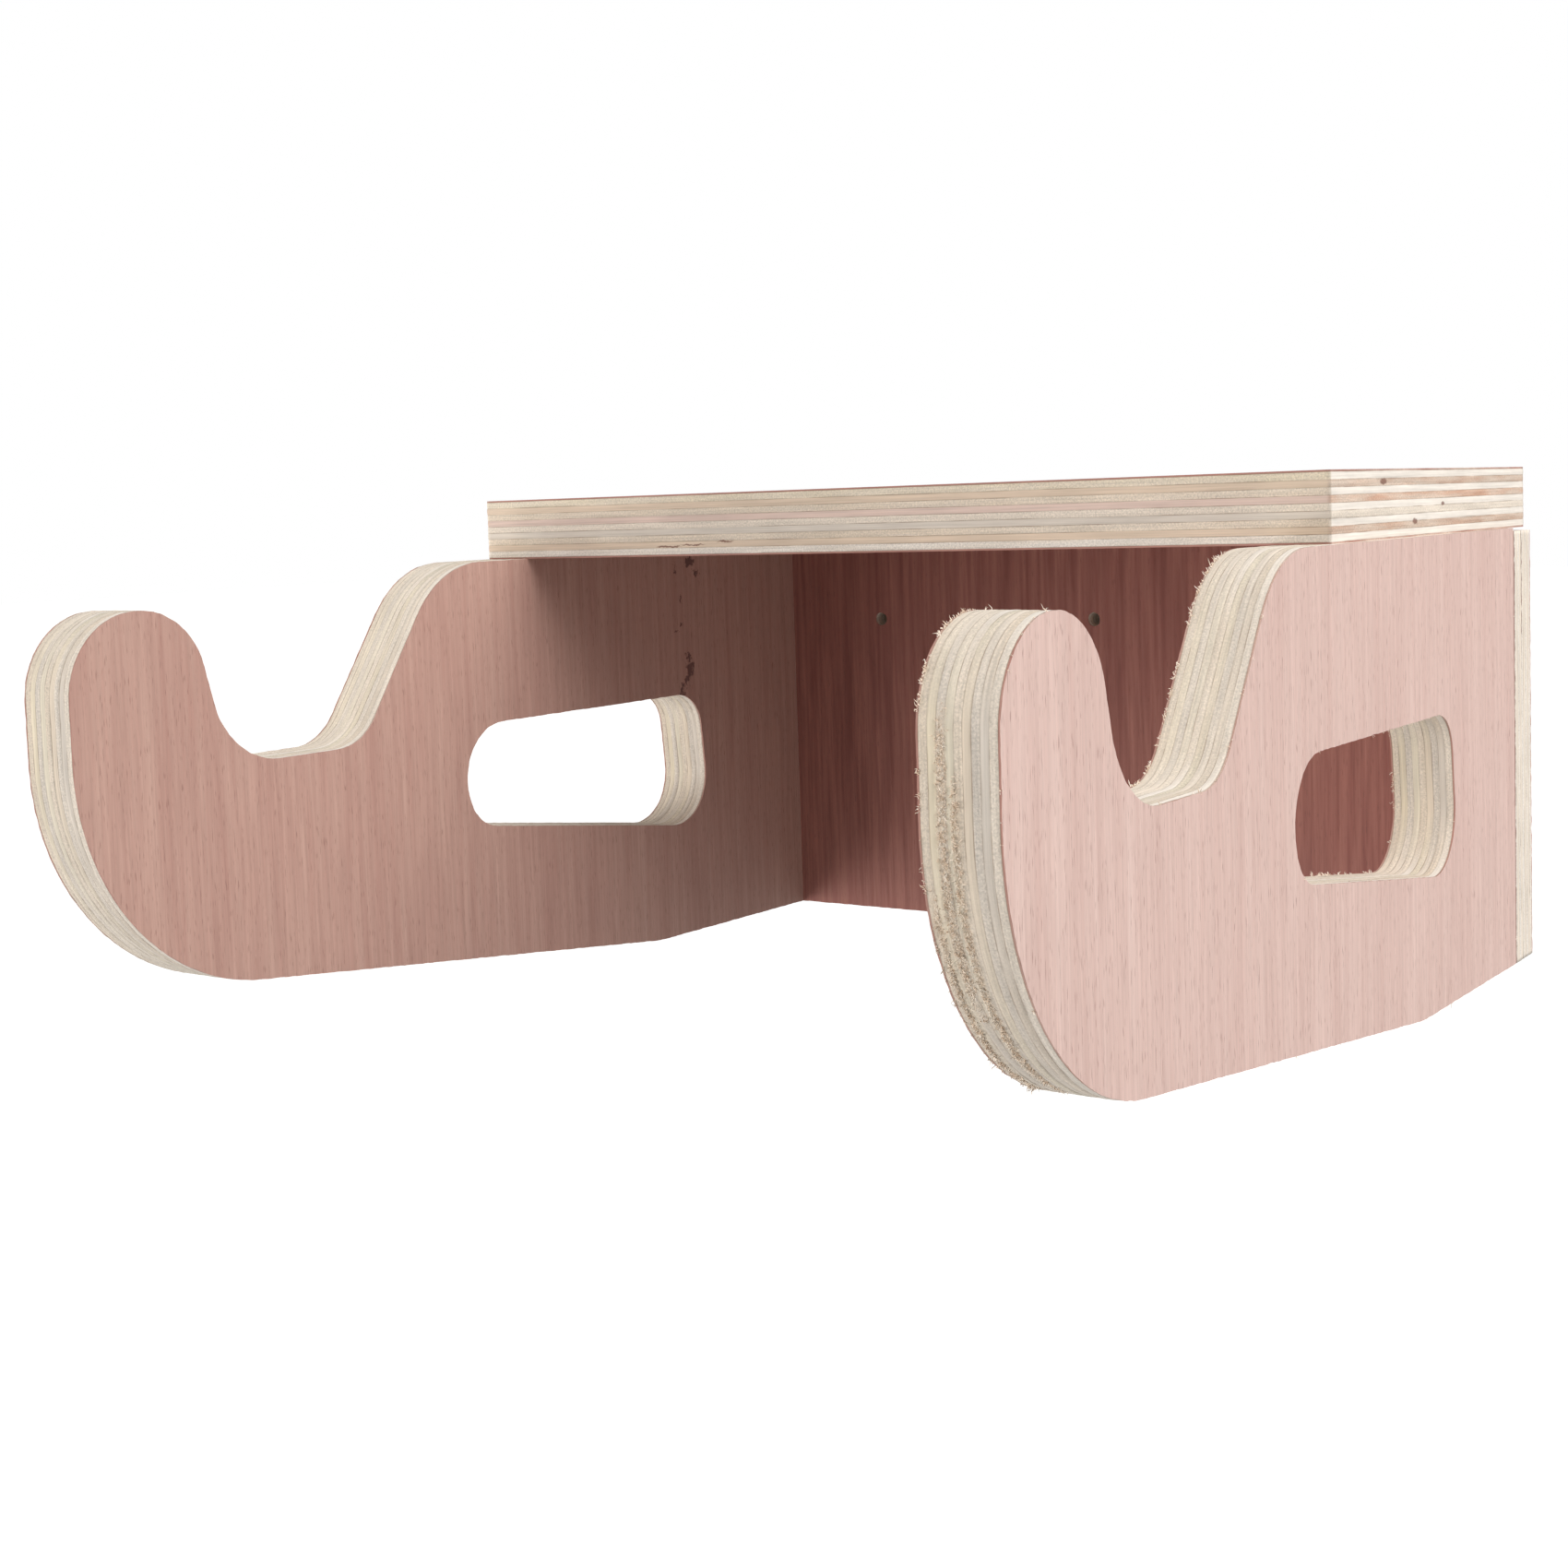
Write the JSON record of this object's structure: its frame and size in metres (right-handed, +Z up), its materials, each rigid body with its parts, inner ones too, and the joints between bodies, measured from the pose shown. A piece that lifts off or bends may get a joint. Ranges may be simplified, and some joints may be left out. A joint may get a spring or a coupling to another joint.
{
  "type": "bicycle wall rack",
  "caption": "Plywood wall rack: a shelf on hooked, slotted arms and a back panel with a row of wall holes, for hanging a bicycle.",
  "frame": {"origin": "centre of the middle wall hole, on the back panel's rear face", "axes": "+Y into the wall, +Z up, +X to the right for someone who faces the wall"},
  "size_m": [0.282, 0.343, 0.1525],
  "materials": {
    "plywood": "raw, sanded faces with sawn edges",
    "zinc_steel": "zinc plated"
  },
  "bodies": {
    "root": {"left_arm": "plywood", "right_arm": "plywood", "shelf": "plywood", "back_panel": "plywood", "shelf_screw_1": "zinc_steel", "shelf_screw_2": "zinc_steel", "shelf_screw_3": "zinc_steel", "shelf_screw_4": "zinc_steel", "panel_screw_1": "zinc_steel", "panel_screw_2": "zinc_steel", "panel_screw_3": "zinc_steel", "panel_screw_4": "zinc_steel", "panel_screw_5": "zinc_steel", "panel_screw_6": "zinc_steel"}
  },
  "joints": []
}
